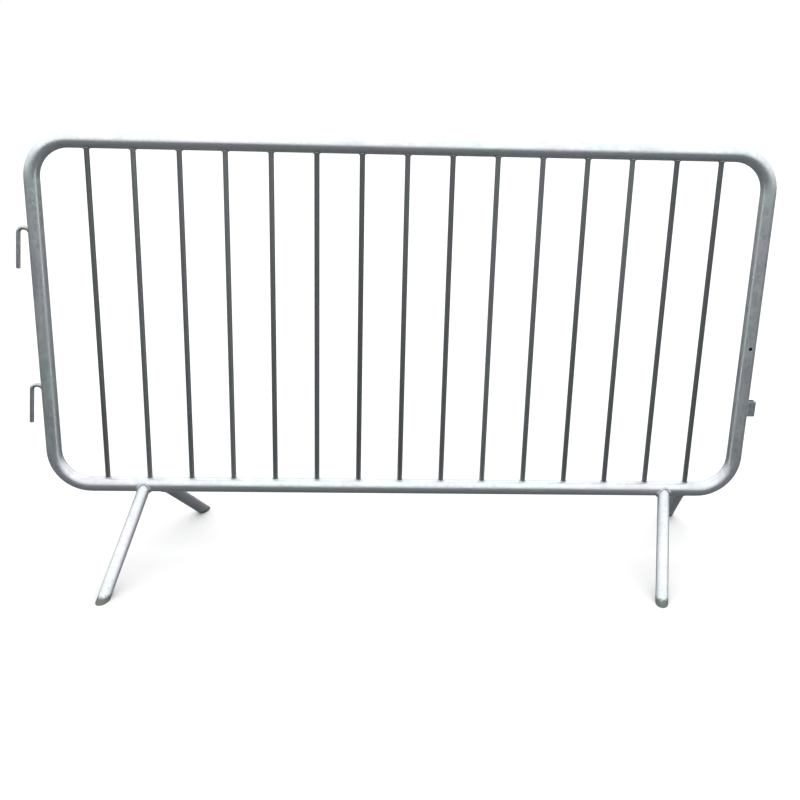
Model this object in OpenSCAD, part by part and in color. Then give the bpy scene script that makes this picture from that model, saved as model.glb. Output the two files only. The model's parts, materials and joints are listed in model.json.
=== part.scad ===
// Crowd control barrier: a bent tube frame with upright infill bars, four welded
// tube legs, two coupling hooks on the left post and a coupling eye on the right.
// +Z is up and +X runs along the barrier. The origin lies on the floor, under the
// middle of the whole barrier with its hooks and its eye.

/* [Frame] */
// Length of the bent tube frame, outside to outside
frame_length = 1990; // [1600:10:2600]
// Height of the bent tube frame, outside to outside
frame_height = 1000; // [800:10:1300]
// Outside diameter of the frame tube
frame_tube_d = 42; // [34:1:50]
// Wall of the frame tube
frame_wall = 2; // [1.5:0.1:3]
// Radius of the corner bends, on the tube's centreline
bend_radius = 100; // [70:1:120]
// Height of the gap between the floor and the bottom rail
ground_clearance = 190; // [150:1:260]
// Diameter of the vent hole in the front of the right post
vent_hole_d = 10; // [6:0.5:14]
// Height of the vent hole above the middle of the bottom rail
vent_hole_rise = 430; // [200:5:500]

/* [Infill bars] */
// Number of upright bars
bar_count = 15; // [8:1:18]
// Diameter of a bar
bar_d = 14; // [10:0.5:18]
// Distance from the middle of the left post to the middle of the first bar
left_end_gap = 146; // [130:1:200]
// Distance from the middle of the last bar to the middle of the right post
right_end_gap = 136; // [130:1:200]

/* [Legs] */
// Outside diameter of the leg tube
leg_tube_d = 34; // [28:0.5:42]
// Wall of the leg tube
leg_wall = 2; // [1.5:0.1:3]
// Distance from the rail to the middle of a foot, square to the barrier
leg_reach = 298; // [240:1:380]
// Angle that the legs are turned by, seen from above
leg_turn = 12.5; // [0:0.5:18]
// Distance along the rail between the front and the back leg of a pair
leg_stagger = 51; // [46:1:70]
// Distance from the left post to the middle of the left pair of legs
left_legs_inset = 277; // [200:1:400]
// Distance from the right post to the middle of the right pair of legs
right_legs_inset = 170; // [168:1:400]

/* [Coupling hooks] */
// Diameter of the hook rod
hook_rod_d = 12; // [8:0.5:14]
// Overall height of a hook
hook_height = 116; // [90:1:150]
// Distance from the post's face to the middle of the hook's leg, at its bend
hook_reach = 26; // [25:0.5:45]
// Bend radius of the hook, on the rod's centreline
hook_bend_radius = 14; // [12:0.5:16]
// Angle that the hook's leg splays away from the post
hook_splay = 5; // [0:0.5:8]
// Angle that the welded end of the rod rises at, away from the post
hook_rise = 20; // [0:1:30]
// Size of the chamfer at the hook's tip
hook_tip_chamfer = 1.5; // [0.5:0.1:2.5]
// Distance from the top of the frame to the top of the upper hook
upper_hook_drop = 244; // [150:1:300]
// Distance from the top of one hook to the top of the other
hook_spacing = 435; // [300:1:500]

/* [Coupling eye] */
// Height of the eye's flat strap
eye_height = 43; // [25:1:60]
// Thickness of the strap
eye_thickness = 4; // [3:0.5:6]
// Inside bend radius of the strap
eye_bend_radius = 2; // [1:0.5:4]
// Clearance on each side of a hook that hangs in the eye
eye_clearance = 2; // [1:0.25:4]
// Distance from the underside of the lower hook's bend down to the eye
eye_drop = 16; // [4:0.5:24]

/* [Welds] */
// Width of the weld bead at the ends of the bars
bar_bead = 3; // [2:0.5:4]
// Width of the weld bead round the legs
leg_bead = 6; // [3:0.5:6]
// Width of the weld beads of the hooks and the eye
coupling_bead = 3; // [2:0.5:4]
// Least gap between a leg's bead and the beads of the bars
bead_gap = 0.5; // [0.3:0.1:1]

/* [Hidden] */
$fn = 96;
function bar_name(i) = str("bar_", i < 10 ? "0" : "", i);

zinc = [0.72, 0.74, 0.75];
dark_zinc = [0.45, 0.46, 0.48];
weld_zinc = [0.62, 0.63, 0.64];
// Overrun of a cutter past the face that it cuts
over = 1;

// Frame
frame_r = frame_tube_d / 2;
post_x = frame_length / 2 - frame_r;
bottom_rail_z = ground_clearance + frame_r;
top_rail_z = ground_clearance + frame_height - frame_r;
frame_mid_z = ground_clearance + frame_height / 2;
rail_spacing = top_rail_z - bottom_rail_z;
rail_straight = 2 * (post_x - bend_radius);
post_straight = rail_spacing - 2 * bend_radius;

// Bars
bar_pitch = (2 * post_x - left_end_gap - right_end_gap) / (bar_count - 1);
function bar_x(i) = -post_x + left_end_gap + (i - 1) * bar_pitch;

// Legs
left_legs_x = -post_x + left_legs_inset;
right_legs_x = post_x - right_legs_inset;
front_left_x = left_legs_x - leg_stagger / 2;
back_left_x = left_legs_x + leg_stagger / 2;
front_right_x = right_legs_x - leg_stagger / 2;
back_right_x = right_legs_x + leg_stagger / 2;
leg_run = leg_reach / cos(leg_turn);
leg_slope = atan(bottom_rail_z / leg_run);
leg_length = norm([leg_run, bottom_rail_z]);
// A level cut lengthens the end of the tube by this much
foot_overrun = leg_tube_d / tan(leg_slope);

// Hooks
hook_r = hook_rod_d / 2;
hook_arc_x = frame_r + hook_reach - hook_bend_radius;
hook_arc_drop = hook_r + hook_bend_radius;
hook_leg_length = (hook_height - hook_arc_drop + (hook_bend_radius - hook_r) * sin(hook_splay))
    / cos(hook_splay);
hook_stub_length = hook_arc_x / cos(hook_rise);
upper_hook_z = ground_clearance + frame_height - upper_hook_drop - hook_arc_drop;
lower_hook_z = upper_hook_z - hook_spacing;

// Eye
eye_slot = hook_rod_d + 2 * eye_clearance;
eye_reach = eye_slot + eye_thickness;
eye_width = eye_slot + 2 * eye_thickness;
eye_top_z = lower_hook_z + hook_bend_radius - hook_r - eye_drop;

// The barrier's middle lies between the tips of the hooks and the end of the eye
hook_overhang = hook_reach - hook_bend_radius + (hook_bend_radius + hook_r) * cos(hook_splay)
    + (hook_leg_length - hook_tip_chamfer) * sin(hook_splay);
middle_shift = (hook_overhang - eye_reach) / 2;

module at_middle() {
    translate([middle_shift, 0, 0]) children();
}

// A solid rod of radius r along the frame's centreline
module frame_path(r) {
    for (side = [-1, 1]) {
        translate([0, 0, frame_mid_z + side * rail_spacing / 2])
            rotate([0, 90, 0]) cylinder(h = rail_straight, r = r, center = true);
        translate([side * post_x, 0, frame_mid_z])
            cylinder(h = post_straight, r = r, center = true);
    }
    for (quarter = [0:3])
        translate([
            (quarter == 0 || quarter == 3 ? 1 : -1) * rail_straight / 2,
            0,
            frame_mid_z + (quarter < 2 ? 1 : -1) * post_straight / 2
        ])
            rotate([90, 0, 0]) rotate([0, 0, 90 * quarter])
                rotate_extrude(angle = 90) translate([bend_radius, 0]) circle(r = r);
}

module frame_tube() {
    color(zinc) at_middle() difference() {
        frame_path(frame_r);
        frame_path(frame_r - frame_wall);
        translate([post_x, 0, bottom_rail_z + vent_hole_rise])
            rotate([90, 0, 0]) cylinder(h = frame_r + over, d = vent_hole_d);
    }
}

// The outside of a rail, as a cutter or as a seat, as long as is asked for
module rail_body(x, z, length, extra = 0) {
    translate([x, 0, z])
        rotate([0, 90, 0]) cylinder(h = length, r = frame_r + extra, center = true);
}

module bar(i) {
    color(dark_zinc) at_middle() difference() {
        translate([bar_x(i), 0, bottom_rail_z]) cylinder(h = rail_spacing, d = bar_d);
        for (z = [bottom_rail_z, top_rail_z]) rail_body(bar_x(i), z, 2 * bar_d);
    }
}

// A weld bead round a round branch that rises along +Z from a rail along X
module saddle_bead(branch_d, bead) {
    difference() {
        intersection() {
            cylinder(h = frame_tube_d, d = branch_d + 2 * bead);
            rail_body(0, 0, 2 * branch_d, bead);
        }
        cylinder(h = frame_tube_d + over, d = branch_d);
        rail_body(0, 0, 3 * branch_d);
    }
}

module bar_welds(z, up) {
    color(weld_zinc) at_middle()
        for (i = [1:bar_count])
            translate([bar_x(i), 0, z]) rotate([up ? 0 : 180, 0, 0]) saddle_bead(bar_d, bar_bead);
}

// Puts its children, which point along +Z, along a leg that starts on the rail at x
module along_leg(x, back) {
    translate([x, 0, bottom_rail_z])
        rotate([0, 0, (back ? 180 : 0) - leg_turn])
            rotate([90 + leg_slope, 0, 0]) children();
}

module leg(x, back) {
    color(zinc) at_middle() difference() {
        along_leg(x, back) difference() {
            cylinder(h = leg_length + foot_overrun, d = leg_tube_d);
            translate([0, 0, -over])
                cylinder(h = leg_length + foot_overrun + 2 * over, d = leg_tube_d - 2 * leg_wall);
        }
        rail_body(x, bottom_rail_z, 4 * leg_tube_d);
        translate([x, 0, -leg_length])
            cube([3 * leg_length, 3 * leg_length, 2 * leg_length], center = true);
    }
}

// A bead round a leg: the rail is at an angle to the leg, so it is placed on its own
module leg_bead_at(x, back) {
    difference() {
        intersection() {
            along_leg(x, back) cylinder(h = frame_tube_d, d = leg_tube_d + 2 * leg_bead);
            rail_body(x, bottom_rail_z, 3 * leg_tube_d, leg_bead);
        }
        along_leg(x, back) cylinder(h = frame_tube_d + over, d = leg_tube_d);
        rail_body(x, bottom_rail_z, 4 * leg_tube_d);
        for (i = [1:bar_count])
            translate([bar_x(i), 0, bottom_rail_z])
                cylinder(h = frame_tube_d, d = bar_d + 2 * (bar_bead + bead_gap));
    }
}

module leg_welds() {
    color(weld_zinc) at_middle() {
        leg_bead_at(front_left_x, false);
        leg_bead_at(back_left_x, true);
        leg_bead_at(front_right_x, false);
        leg_bead_at(back_right_x, true);
    }
}

// Places a hook, drawn with its post on the Z axis and its leg towards +X
module at_hook(z) {
    translate([-post_x, 0, z]) rotate([0, 0, 180]) children();
}

// The welded end of the hook's rod, from the post's axis to the bend
module hook_stub(extra = 0) {
    translate([hook_arc_x, 0, 0]) rotate([0, -hook_rise, 0])
        translate([0, 0, hook_bend_radius]) rotate([0, -90, 0])
            cylinder(h = hook_stub_length, r = hook_r + extra);
}

module hook(z) {
    color(dark_zinc) at_middle() at_hook(z) difference() {
        union() {
            hook_stub();
            translate([hook_arc_x, 0, 0]) {
                rotate([90, 0, 0]) rotate([0, 0, hook_splay])
                    rotate_extrude(angle = 90 + hook_rise - hook_splay)
                        translate([hook_bend_radius, 0]) circle(r = hook_r);
                rotate([0, -hook_splay, 0]) translate([hook_bend_radius, 0, -hook_leg_length]) {
                    translate([0, 0, hook_tip_chamfer])
                        cylinder(h = hook_leg_length - hook_tip_chamfer, r = hook_r);
                    cylinder(h = hook_tip_chamfer, r1 = hook_r - hook_tip_chamfer, r2 = hook_r);
                }
            }
        }
        cylinder(h = 4 * hook_arc_drop, r = frame_r, center = true);
    }
}

module hook_welds() {
    color(weld_zinc) at_middle()
        for (z = [upper_hook_z, lower_hook_z])
            at_hook(z) difference() {
                intersection() {
                    hook_stub(coupling_bead);
                    cylinder(h = 4 * hook_arc_drop, r = frame_r + coupling_bead, center = true);
                }
                hook_stub();
                cylinder(h = 4 * hook_arc_drop + over, r = frame_r, center = true);
            }
}

// Places the eye, drawn upwards from z = 0 with its post on the Z axis
module at_eye() {
    translate([post_x, 0, eye_top_z - eye_height]) children();
}

// The strap's outline from above: square at the post and rounded at its far end
module strap_outline(width, reach, corner) {
    translate([0, -width / 2]) square([reach - corner, width]);
    translate([0, corner - width / 2]) square([reach, width - 2 * corner]);
    for (side = [-1, 1])
        translate([reach - corner, side * (width / 2 - corner)]) circle(r = corner);
}

module coupling_eye() {
    color(zinc) at_middle() at_eye() difference() {
        linear_extrude(eye_height) difference() {
            strap_outline(eye_width, frame_r + eye_reach, eye_bend_radius + eye_thickness);
            strap_outline(eye_slot, frame_r + eye_slot, eye_bend_radius);
        }
        translate([0, 0, -over]) cylinder(h = eye_height + 2 * over, r = frame_r);
    }
}

module eye_welds() {
    color(weld_zinc) at_middle() at_eye()
        for (side = [-1, 1])
            difference() {
                intersection() {
                    cylinder(h = eye_height, r = frame_r + coupling_bead);
                    translate([0, side * (eye_width + coupling_bead) / 2, eye_height / 2])
                        cube([2 * frame_tube_d, coupling_bead, eye_height], center = true);
                    translate([frame_tube_d, 0, eye_height / 2])
                        cube([2 * frame_tube_d, frame_tube_d, eye_height], center = true);
                }
                translate([0, 0, -over]) cylinder(h = eye_height + 2 * over, r = frame_r);
            }
}

frame_tube();
for (i = [1:bar_count])
    bar(i);
leg(front_left_x, false);  // front_left_leg
leg(back_left_x, true);  // back_left_leg
leg(front_right_x, false);  // front_right_leg
leg(back_right_x, true);  // back_right_leg
hook(upper_hook_z);  // upper_hook
hook(lower_hook_z);  // lower_hook
coupling_eye();
bar_welds(top_rail_z, false);  // bar_top_welds
bar_welds(bottom_rail_z, true);  // bar_bottom_welds
leg_welds();
hook_welds();
eye_welds();
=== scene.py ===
import json
import math
import random

import bpy
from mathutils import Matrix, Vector


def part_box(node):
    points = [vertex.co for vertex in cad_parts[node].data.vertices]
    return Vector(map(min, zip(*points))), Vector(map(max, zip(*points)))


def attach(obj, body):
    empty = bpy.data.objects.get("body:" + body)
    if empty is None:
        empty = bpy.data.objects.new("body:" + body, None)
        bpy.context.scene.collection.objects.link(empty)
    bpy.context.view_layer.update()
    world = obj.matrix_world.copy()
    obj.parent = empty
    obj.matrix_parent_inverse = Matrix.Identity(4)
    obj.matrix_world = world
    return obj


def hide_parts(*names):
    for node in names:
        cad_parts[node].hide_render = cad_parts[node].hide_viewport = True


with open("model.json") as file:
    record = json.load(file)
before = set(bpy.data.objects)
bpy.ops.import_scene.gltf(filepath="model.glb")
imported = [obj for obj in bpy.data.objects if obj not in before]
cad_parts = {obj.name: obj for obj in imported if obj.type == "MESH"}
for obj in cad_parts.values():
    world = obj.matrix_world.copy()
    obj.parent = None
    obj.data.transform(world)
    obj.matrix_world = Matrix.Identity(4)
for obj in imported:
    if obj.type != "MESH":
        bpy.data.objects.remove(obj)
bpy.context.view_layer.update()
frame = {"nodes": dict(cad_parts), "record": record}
nodes = frame["nodes"]

# ---------------------------------------------------------------- sizes from the frame

tube_low, tube_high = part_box("frame_tube")
tube_r = (tube_high.y - tube_low.y) / 2
left_post_x = tube_low.x + tube_r
right_post_x = tube_high.x - tube_r
bottom_rail_z = tube_low.z + tube_r
top_rail_z = tube_high.z - tube_r
middle = Vector(((left_post_x + right_post_x) / 2, 0, (bottom_rail_z + top_rail_z) / 2))

bar_names = sorted(name for name in nodes if name.startswith("bar_") and name[4:].isdigit())
leg_names = ["front_left_leg", "back_left_leg", "front_right_leg", "back_right_leg"]
hook_names = ["upper_hook", "lower_hook"]
mounts = {mount["name"]: mount for mount in frame["record"]["mounts"]}

# The legs are turned by this much, seen from above
leg_turn = math.radians(12.5)
# What lies below this is the level cut at a foot
floor_skin = 0.0005
leg_r = 0.017
# The welded end of a hook rises at this angle, away from the post
hook_rise = math.radians(20)
hook_r = mounts["upper_hook"]["dims"]["r_mm"] / 1000
# What lies this near to a hook's right side is the end that is welded to the post
hook_seat_depth = 0.0012

# Weld beads: their radii, how far one ripple reaches along a bead, and how much ripples differ
bar_bead_r = 0.0021
leg_bead_r = 0.0046
coupling_bead_r = 0.0021
ripple_length = 0.0034
points_per_ripple = 4
ripple_swell = (0.86, 1.20)
ripple_fall = 0.16
# How far a bead's middle stands off the piece it is welded round, in bead radii
bead_stand_off = 0.4
leg_bead_stand_off = 0.1
eye_bead_stand_off = 0.5
# The ripples of each piece's first bead are drawn from this seed
bead_seeds = {
    "top_bar_beads": 10,
    "bottom_bar_beads": 12,
    "leg_beads": 31,
    "hook_beads": 51,
    "eye_beads": 71,
}


def middle_of(points):
    """The middle of the box round some points."""
    low = Vector([min(point[axis] for point in points) for axis in range(3)])
    high = Vector([max(point[axis] for point in points) for axis in range(3)])
    return (low + high) / 2


def bar_place(name):
    """Where a bar stands along the barrier, and its radius."""
    low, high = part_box(name)
    return (low.x + high.x) / 2, (high.x - low.x) / 2


# ---------------------------------------------------------------- node helpers


def new_material(name):
    material = bpy.data.materials.new(name)
    material.use_nodes = True
    material.node_tree.nodes.clear()
    return material


class Tree:
    """Short calls for building a shader: each one adds a node and returns an output."""

    def __init__(self, tree):
        self.tree = tree

    def add(self, kind, settings=None, **inputs):
        node = self.tree.nodes.new(kind)
        for key, value in (settings or {}).items():
            setattr(node, key, value)
        for key, value in inputs.items():
            self.put(node.inputs[key.replace("_", " ")], value)
        return node

    def put(self, socket, value):
        if isinstance(value, bpy.types.NodeSocket):
            self.tree.links.new(value, socket)
        else:
            socket.default_value = value

    def place(self):
        return self.add("ShaderNodeTexCoord").outputs["Object"]

    def part_of(self, vector, axis):
        return self.add("ShaderNodeSeparateXYZ", Vector=vector).outputs[axis]

    def stretched(self, vector, scale):
        node = self.add("ShaderNodeMapping", Vector=vector)
        node.inputs["Scale"].default_value = scale
        return node.outputs["Vector"]

    def noise(self, vector, scale, detail=3.0, roughness=0.5):
        node = self.add("ShaderNodeTexNoise", Vector=vector, Scale=scale, Detail=detail, Roughness=roughness)
        return node.outputs["Fac"]

    def crystals(self, vector, scale):
        """One random grey for each zinc crystal."""
        node = self.add("ShaderNodeTexVoronoi", Vector=vector, Scale=scale, Randomness=1.0)
        return self.add("ShaderNodeRGBToBW", Color=node.outputs["Color"]).outputs["Val"]

    def spread(self, value, low, high, to_low, to_high):
        """Turns low to high into to_low to to_high, with soft ends, and holds still beyond them."""
        node = self.add("ShaderNodeMapRange", {"interpolation_type": "SMOOTHSTEP"}, Value=value)
        for name, number in (("From Min", low), ("From Max", high), ("To Min", to_low), ("To Max", to_high)):
            node.inputs[name].default_value = number
        return node.outputs["Result"]

    def math(self, operation, first, second):
        node = self.add("ShaderNodeMath", {"operation": operation})
        self.put(node.inputs[0], first)
        self.put(node.inputs[1], second)
        return node.outputs["Value"]

    def plus(self, first, second):
        return self.math("ADD", first, second)

    def minus(self, first, second):
        return self.math("SUBTRACT", first, second)

    def times(self, first, second):
        return self.math("MULTIPLY", first, second)

    def mix(self, share, first, second, blend="MIX"):
        node = self.add("ShaderNodeMix", {"data_type": "RGBA", "blend_type": blend})
        for name, value in (("Factor_Float", share), ("A_Color", first), ("B_Color", second)):
            socket = next(s for s in node.inputs if s.identifier == name)
            self.put(socket, value)
        return next(s for s in node.outputs if s.identifier == "Result_Color")

    def ramp(self, value, *stops):
        node = self.add("ShaderNodeValToRGB", Fac=value)
        band = node.color_ramp
        band.elements[0].position, band.elements[0].color = stops[0]
        band.elements[1].position, band.elements[1].color = stops[-1]
        for position, color in stops[1:-1]:
            band.elements.new(position).color = color
        return node.outputs["Color"]


def grey(level, tint=(1.0, 1.0, 1.0)):
    return (level * tint[0], level * tint[1], level * tint[2], 1.0)


# ---------------------------------------------------------------- finishes

cool = (0.95, 1.0, 1.025)
violet = (0.99, 0.98, 1.04)
green = (0.945, 1.02, 0.99)
# The colour of the painted shade at the feet, a dark band where the legs meet the ground
foot_shade_colour = (0.080, 0.102, 0.092, 1.0)
red_rust = (0.205, 0.098, 0.048, 1.0)

# Noise scales, per metre
tint_scale = 3.1
cloud_scale = 9.0
rust_patch_scale = 24.0
dent_scale = 46.0
rubbed_scale = 55.0
foot_shade_edge_scale = 130.0
rust_speck_scale = 160.0
shade_fleck_scale = 210.0
pit_scale = 420.0
# Scuffs are short across the tube and long along it, and bars differ along the barrier
scuff_across_x = 150.0
scuff_across_y = 90.0
scuff_along = 7.0
bar_to_bar = (5.3, 0.0, 0.4)

# Scuffs turn from running down to running along between these heights from a rail, in tube radii
rail_scuffs_start = 1.4
rail_scuffs_full = 0.9

# Painted shade on the feet, a dark band low on each leg: where it starts and is full, how ragged its edge
# is, and how high its dark flecks reach
foot_shade_top = 0.024
foot_shade_full = 0.015
foot_shade_ragged = 0.012
shade_fleck_top = 0.09

bump_strength = 0.22
bump_depth = 0.0009


def scuffs_and_runs(tree, place, height):
    """Noise drawn out along the rails, and down the posts and bars."""
    along = tree.noise(tree.stretched(place, (scuff_along, scuff_across_y, scuff_across_x)), 1.0, 4.0, 0.6)
    down = tree.noise(tree.stretched(place, (scuff_across_x, scuff_across_y, scuff_along)), 1.0, 4.0, 0.6)
    start = tube_r * rail_scuffs_start
    full = tube_r * rail_scuffs_full
    near_rail = tree.plus(
        tree.spread(height, bottom_rail_z + start, bottom_rail_z + full, 0.0, 1.0),
        tree.spread(height, top_rail_z - start, top_rail_z - full, 0.0, 1.0),
    )
    return tree.plus(tree.times(along, near_rail), tree.times(down, tree.minus(1.0, near_rail)))


def painted_foot_shade(tree, place, height, foot_shade_share):
    """Painted shade on a foot: a dark band with a ragged edge, and dark flecks above it."""
    ragged = tree.times(tree.noise(place, foot_shade_edge_scale, 4.0, 0.6), foot_shade_ragged)
    shade_band = tree.times(tree.spread(tree.plus(height, ragged), foot_shade_top, foot_shade_full, 0.0, 1.0), foot_shade_share)
    shade_flecks = tree.times(
        tree.spread(height, shade_fleck_top, 0.0, 0.0, 0.7),
        tree.spread(tree.noise(place, shade_fleck_scale, 5.0, 0.7), 0.55, 0.68, 0.0, foot_shade_share),
    )
    return tree.math("MAXIMUM", shade_band, shade_flecks)


def zinc(name, level, contrast, shine, crystal=110.0, worn=0.0, foot_shade_share=0.0, rust=0.0, own=0.0):
    """Hot-dip zinc: soft clouds and crystals, faint tints, fine pits, runs and scuffs.

    level is how light the zinc is and shine its mean roughness. worn rubs it bright in random
    patches, the share for the feet paints shade on them as a dark band, rust stains it in specks,
    and own is how far the tone of one bar may differ from the next.
    """
    material = new_material(name)
    tree = Tree(material.node_tree)
    place = tree.place()
    height = tree.part_of(place, "Z")

    # Clouds of weathered zinc, with a tint that wanders along the tube
    clouds = tree.noise(place, cloud_scale, 5.0, 0.6)
    crystals = tree.crystals(place, crystal)
    pits = tree.noise(place, pit_scale, 4.0, 0.65)
    shade = tree.ramp(
        clouds,
        (0.30, grey(level * (1 - contrast))),
        (0.50, grey(level)),
        (0.72, grey(level * (1 + contrast))),
    )
    tint = tree.ramp(
        tree.noise(place, tint_scale, 2.0, 0.45),
        (0.36, grey(1.0, green)),
        (0.50, grey(1.0, cool)),
        (0.64, grey(1.0, violet)),
    )
    shade = tree.mix(1.0, shade, tint, "MULTIPLY")
    facets = tree.ramp(crystals, (0.15, grey(0.90, cool)), (0.85, grey(1.0)))
    shade = tree.mix(0.55, shade, facets, "MULTIPLY")

    scuffs = scuffs_and_runs(tree, place, height)
    light_scuff = grey(min(level * 1.22, 0.95), cool)
    shade = tree.mix(tree.spread(scuffs, 0.56, 0.74, 0.0, 0.45), shade, light_scuff)
    shade = tree.mix(tree.spread(scuffs, 0.46, 0.30, 0.0, 0.35), shade, grey(level * 0.72))

    if own:
        tone = tree.noise(tree.stretched(place, bar_to_bar), 1.0, 1.0)
        tone = tree.spread(tone, 0.30, 0.70, 1 - own, 1 + own)
        tone = tree.add("ShaderNodeCombineXYZ", X=tone, Y=tone, Z=tone).outputs["Vector"]
        shade = tree.mix(1.0, shade, tone, "MULTIPLY")

    rough = tree.plus(
        tree.spread(clouds, 0.30, 0.70, shine + 0.06, shine - 0.05),
        tree.spread(crystals, 0.1, 0.9, 0.05, -0.04),
    )
    rough = tree.plus(rough, tree.spread(pits, 0.35, 0.75, -0.03, 0.07))

    if worn:
        rubbed = tree.spread(tree.noise(place, rubbed_scale, 4.0, 0.6), 0.42, 0.62, 0.0, worn)
        shade = tree.mix(rubbed, shade, grey(min(level * 1.45, 0.9), cool))
        rough = tree.minus(rough, tree.times(rubbed, 0.10))

    if rust:
        specks = tree.spread(tree.noise(place, rust_speck_scale, 5.0, 0.7), 0.58, 0.72, 0.0, 1.0)
        patches = tree.spread(tree.noise(place, rust_patch_scale, 3.0, 0.5), 0.5, 0.7, 0.0, rust)
        stained = tree.times(specks, patches)
        shade = tree.mix(stained, shade, red_rust)
        rough = tree.plus(rough, tree.times(stained, 0.25))

    metal = 1.0
    # Painted shade low on the legs: a dark, rougher, less metallic band with dark flecks above it
    if foot_shade_share:
        foot_darkening = painted_foot_shade(tree, place, height, foot_shade_share)
        shade = tree.mix(foot_darkening, shade, foot_shade_colour)
        rough = tree.plus(rough, tree.times(foot_darkening, 0.4))
        metal = tree.minus(1.0, foot_darkening)

    relief = tree.plus(tree.times(pits, 0.30), tree.times(scuffs, 0.8))
    relief = tree.plus(relief, tree.times(tree.noise(place, dent_scale, 3.0, 0.5), 1.6))
    bump = tree.add("ShaderNodeBump", Strength=bump_strength, Distance=bump_depth, Height=relief)

    shader = tree.add("ShaderNodeBsdfPrincipled")
    tree.put(shader.inputs["Base Color"], shade)
    tree.put(shader.inputs["Roughness"], rough)
    tree.put(shader.inputs["Metallic"], metal)
    tree.put(shader.inputs["Normal"], bump.outputs["Normal"])
    tree.add("ShaderNodeOutputMaterial", Surface=shader.outputs["BSDF"])
    return material


frame_zinc = zinc("zinc_on_frame", 0.76, contrast=0.09, shine=0.37)
bar_zinc = zinc("dark_zinc_on_bars", 0.26, contrast=0.12, shine=0.42, crystal=190.0, own=0.22)
# Both leg finishes carry painted shade on the feet
leg_zinc = zinc("zinc_on_legs", 0.80, contrast=0.06, shine=0.43, foot_shade_share=0.9)
# The back legs get a darker copy of the leg zinc: painted shade, for the shade they stand in
back_leg_zinc_in_painted_shade = zinc("painted_shade_zinc_on_back_legs", 0.60, contrast=0.12, shine=0.40, foot_shade_share=0.9)
hook_zinc = zinc("rubbed_zinc_on_hooks", 0.56, contrast=0.14, shine=0.34, crystal=240.0, worn=0.5, rust=0.35)
eye_zinc = zinc("rubbed_zinc_on_eye", 0.53, contrast=0.14, shine=0.38, crystal=200.0, worn=0.3, rust=0.3)
weld_zinc = zinc("zinc_on_welds", 0.62, contrast=0.18, shine=0.44, crystal=420.0, rust=0.15)

finishes = {"frame_tube": frame_zinc, "coupling_eye": eye_zinc}
finishes.update({name: bar_zinc for name in bar_names})
finishes.update({name: back_leg_zinc_in_painted_shade if name.startswith("back") else leg_zinc for name in leg_names})
finishes.update({name: hook_zinc for name in hook_names})
for name, finish in finishes.items():
    nodes[name].data.materials.clear()
    nodes[name].data.materials.append(finish)

# ---------------------------------------------------------------- making a weld bead


def deselect():
    bpy.ops.object.select_all(action="DESELECT")


def apply_transform():
    bpy.ops.object.transform_apply(location=True, rotation=True, scale=True)


def ripple(points, seed):
    """Swells a bead at each ripple, as the puddle leaves it, with a little wander."""
    chance = random.Random(seed)
    swell = 1.0
    for index, point in enumerate(points):
        step = index % points_per_ripple
        if step == 0:
            swell = chance.uniform(*ripple_swell)
        point.radius = swell * (1.0 - ripple_fall * step / (points_per_ripple - 1))


def draw_out(bead, bead_r, seed):
    """Turns a line of points into a round bead that follows it."""
    bpy.ops.object.convert(target="CURVE")
    bead.data.bevel_depth = bead_r
    bead.data.bevel_resolution = 2
    ripple(bead.data.splines[0].points, seed)
    bpy.ops.object.convert(target="MESH")
    apply_transform()
    bpy.ops.object.shade_smooth()


def ring_bead(name, start, along, ring_r, bead_r, seed):
    """A bead round a joint: a ring round the branch, laid on the tube that the branch meets."""
    deselect()
    ripples = max(8, round(2 * math.pi * ring_r / ripple_length))
    bpy.ops.mesh.primitive_circle_add(
        vertices=ripples * points_per_ripple,
        radius=ring_r,
        location=start,
        rotation=Vector(along).to_track_quat("Z", "Y").to_euler(),
    )
    bead = bpy.context.object
    bead.name = name
    lay = bead.modifiers.new("lay_on_tube", "SHRINKWRAP")
    lay.target = nodes["frame_tube"]
    lay.wrap_method = "PROJECT"
    lay.use_project_z = True
    lay.use_positive_direction = False
    lay.use_negative_direction = True
    bpy.ops.object.modifier_apply(modifier=lay.name)
    draw_out(bead, bead_r, seed)
    return bead


def upright_bead(name, foot, length, bead_r, seed):
    """A straight bead that stands on a point. It starts as one row of a grid's points, laid down."""
    deselect()
    steps = round(length / ripple_length) * points_per_ripple
    bpy.ops.mesh.primitive_grid_add(x_subdivisions=steps, y_subdivisions=1, size=1)
    bead = bpy.context.object
    bead.name = name
    bpy.ops.object.mode_set(mode="EDIT")
    bpy.ops.mesh.select_all(action="DESELECT")
    bpy.ops.object.mode_set(mode="OBJECT")
    for vertex in bead.data.vertices:
        vertex.select = vertex.co.y > 0
    bpy.ops.object.mode_set(mode="EDIT")
    bpy.ops.mesh.delete(type="VERT")
    bpy.ops.object.mode_set(mode="OBJECT")
    # The row that is left lies half a unit to the side of the object's middle
    row_y = bead.data.vertices[0].co.y
    bead.scale = (length - 2 * bead_r, 1, 1)
    bead.rotation_euler = (0, -math.pi / 2, 0)
    apply_transform()
    bead.location = (foot[0], foot[1] - row_y, foot[2] + length / 2)
    draw_out(bead, bead_r, seed)
    return bead


def copy_of(bead, name, shift, half_turn_at=None):
    """A copy with its own mesh, moved along, and turned half round where that is asked for."""
    deselect()
    bead.select_set(True)
    bpy.context.view_layer.objects.active = bead
    bpy.ops.object.duplicate()
    twin = bpy.context.object
    twin.name = name
    if half_turn_at is not None:
        twin.location = (2 * half_turn_at[0], 2 * half_turn_at[1], 0)
        twin.rotation_euler = (0, 0, math.pi)
        apply_transform()
    twin.location = shift
    apply_transform()
    return twin


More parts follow.
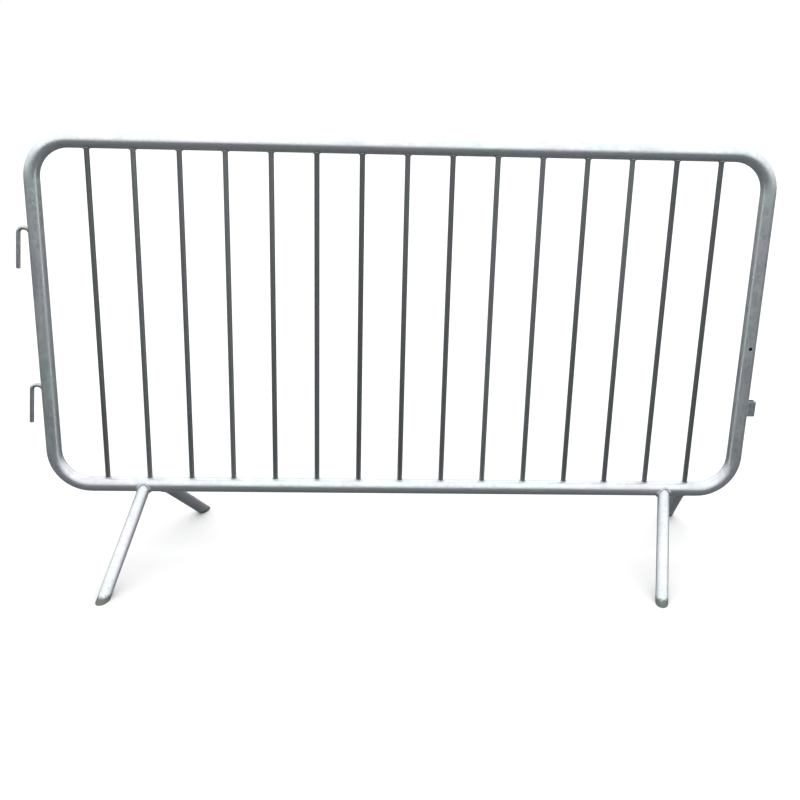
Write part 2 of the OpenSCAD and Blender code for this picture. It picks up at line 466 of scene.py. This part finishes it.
def join_as(name, beads, stands_for):
    """Joins beads into the piece that stands for a node, and gives it its finish."""
    deselect()
    for bead in beads:
        bead.select_set(True)
    bpy.context.view_layer.objects.active = beads[0]
    bpy.ops.object.join()
    piece = bpy.context.object
    piece.name = name
    piece.data.name = name
    piece.data.materials.clear()
    piece.data.materials.append(weld_zinc)
    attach(piece, "root")
    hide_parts(stands_for)
    return piece


# ---------------------------------------------------------------- the barrier's weld beads


def bar_beads(name, stands_for, rail_z, up):
    """One bead round the end of each bar. The first is made, and every other copy is turned."""
    first_x, bar_r = bar_place(bar_names[0])
    start = (first_x, 0, rail_z + up * 2 * tube_r)
    ring_r = bar_r + bar_bead_r * bead_stand_off
    bead = ring_bead(f"{name}_01", start, (0, 0, up), ring_r, bar_bead_r, bead_seeds[name])
    beads = [bead]
    for index, bar in enumerate(bar_names[1:], start=2):
        x, _ = bar_place(bar)
        half_turn_at = (first_x, 0) if index % 2 else None
        beads.append(copy_of(bead, f"{name}_{index:02d}", (x - first_x, 0, 0), half_turn_at))
    join_as(name, beads, stands_for)


def leg_beads(name, stands_for):
    """A bead round the top of each leg, which leans from its foot to the middle of the rail."""
    beads = []
    for index, leg in enumerate(leg_names):
        foot = middle_of([vertex.co for vertex in nodes[leg].data.vertices if vertex.co.z < floor_skin])
        foot.z = 0
        seat = Vector((foot.x - foot.y * math.tan(leg_turn), 0, bottom_rail_z))
        along = (foot - seat).normalized()
        start = seat + along * 2 * tube_r
        ring_r = leg_r + leg_bead_r * leg_bead_stand_off
        seed = bead_seeds[name] + index
        beads.append(ring_bead(f"{leg}_bead", start, along, ring_r, leg_bead_r, seed))
    join_as(name, beads, stands_for)


def hook_beads(name, stands_for):
    """A bead round the welded end of each hook, whose middle is the middle of its seat."""
    beads = []
    along = Vector((-math.cos(hook_rise), 0, math.sin(hook_rise)))
    ring_r = hook_r + coupling_bead_r * bead_stand_off
    for index, hook in enumerate(hook_names):
        seat_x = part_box(hook)[1].x - hook_seat_depth
        seat = middle_of([vertex.co for vertex in nodes[hook].data.vertices if vertex.co.x > seat_x])
        start = seat + along * tube_r
        seed = bead_seeds[name] + index
        beads.append(ring_bead(f"{hook}_bead", start, along, ring_r, coupling_bead_r, seed))
    join_as(name, beads, stands_for)


def eye_beads(name, stands_for):
    """The eye's beads run straight up the post, one along each edge of the strap."""
    low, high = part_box("coupling_eye")
    beads = []
    for index, side in enumerate((-1, 1)):
        y = side * (high.y + coupling_bead_r * eye_bead_stand_off)
        x = right_post_x + math.sqrt(tube_r**2 - y**2)
        length = high.z - low.z
        seed = bead_seeds[name] + index
        beads.append(upright_bead(f"eye_bead_{index + 1}", (x, y, low.z), length, coupling_bead_r, seed))
    join_as(name, beads, stands_for)


bar_beads("top_bar_beads", "bar_top_welds", top_rail_z, -1)
bar_beads("bottom_bar_beads", "bar_bottom_welds", bottom_rail_z, 1)
leg_beads("leg_beads", "leg_welds")
hook_beads("hook_beads", "hook_welds")
eye_beads("eye_beads", "eye_welds")

# ---------------------------------------------------------------- studio

floor_size = 60
# What the tubes mirror from below is a little blue and green
from_ground = (0.935, 1.0, 1.04)
# The strips reach below the floor, because the posts mirror what is low down
strip_distance = 4.2
strip_height = 3.8
strip_middle_z = -0.5
# From the middle of the frame, in metres, then turned by degrees about X, Y and Z
camera_offset = Vector((-0.1215, -2.8091, 0.6961))
camera_turn = (72.0068, -1.3846, -2.0347)
camera_lens = 47.21


def pale_floor():
    deselect()
    bpy.ops.mesh.primitive_plane_add(size=floor_size, location=(middle.x, 0, 0))
    floor = bpy.context.object
    floor.name = "floor"
    material = new_material("pale_floor")
    tree = Tree(material.node_tree)
    shader = tree.add("ShaderNodeBsdfPrincipled", Roughness=0.9)
    shader.inputs["Base Color"].default_value = grey(0.86)
    tree.add("ShaderNodeOutputMaterial", Surface=shader.outputs["BSDF"])
    floor.data.materials.append(material)
    # The floor takes shadows, and throws no light back up on the tubes
    floor.visible_glossy = False
    floor.visible_diffuse = False
    floor.visible_shadow = False


def soft_dome():
    """Bright soft light from above, falling off to a dim horizon, and plain white behind."""
    world = bpy.data.worlds.new("soft_dome")
    world.use_nodes = True
    world.node_tree.nodes.clear()
    tree = Tree(world.node_tree)
    height = tree.part_of(tree.add("ShaderNodeTexCoord").outputs["Generated"], "Z")
    # 0 is straight down, 0.5 is the horizon and 1 is straight up
    share = tree.add("ShaderNodeMapRange", Value=height, From_Min=-1.0)
    light = tree.ramp(
        share.outputs["Result"],
        (0.00, grey(0.13, from_ground)),
        (0.20, grey(0.20, from_ground)),
        (0.36, grey(0.145, from_ground)),
        (0.455, grey(0.170, from_ground)),
        (0.50, grey(0.40, cool)),
        (0.545, grey(0.84)),
        (0.62, grey(1.0)),
        (1.00, grey(1.0)),
    )
    strength = tree.spread(height, 0.0, 0.7, 1.0, 1.45)
    dome = tree.add("ShaderNodeBackground", Color=light, Strength=strength)
    behind = tree.add("ShaderNodeBackground", Color=grey(1.0))
    both = tree.add("ShaderNodeMixShader")
    tree.put(both.inputs[0], tree.add("ShaderNodeLightPath").outputs["Is Camera Ray"])
    tree.put(both.inputs[1], dome.outputs["Background"])
    tree.put(both.inputs[2], behind.outputs["Background"])
    tree.add("ShaderNodeOutputWorld", Surface=both.outputs["Shader"])
    bpy.context.scene.world = world


def strip_light(name, azimuth, post_x, width, spread, watts):
    """A tall soft box with a grid, turned to the far post, for the streak down its side."""
    angle = math.radians(azimuth)
    place = Vector((middle.x, 0, strip_middle_z))
    place += Vector((math.sin(angle), -math.cos(angle), 0)) * strip_distance
    away = place - Vector((post_x, 0, middle.z))
    turn = away.to_track_quat("Z", "Y").to_euler()
    bpy.ops.object.light_add(type="AREA", location=place, rotation=turn)
    light = bpy.context.object
    light.name = name
    light.visible_camera = False
    light.data.shape = "RECTANGLE"
    light.data.size = width
    light.data.size_y = strip_height
    light.data.spread = math.radians(spread)
    light.data.energy = watts


def camera_in_front():
    turn = [math.radians(angle) for angle in camera_turn]
    bpy.ops.object.camera_add(location=middle + camera_offset, rotation=turn)
    camera = bpy.context.object
    camera.data.lens = camera_lens
    bpy.context.scene.camera = camera


pale_floor()
soft_dome()
strip_light("right_strip", azimuth=57, post_x=left_post_x, width=0.9, spread=26, watts=0.45)
strip_light("left_strip", azimuth=-74, post_x=right_post_x, width=0.35, spread=12, watts=0.16)
camera_in_front()
bpy.context.scene.view_settings.view_transform = "Standard"
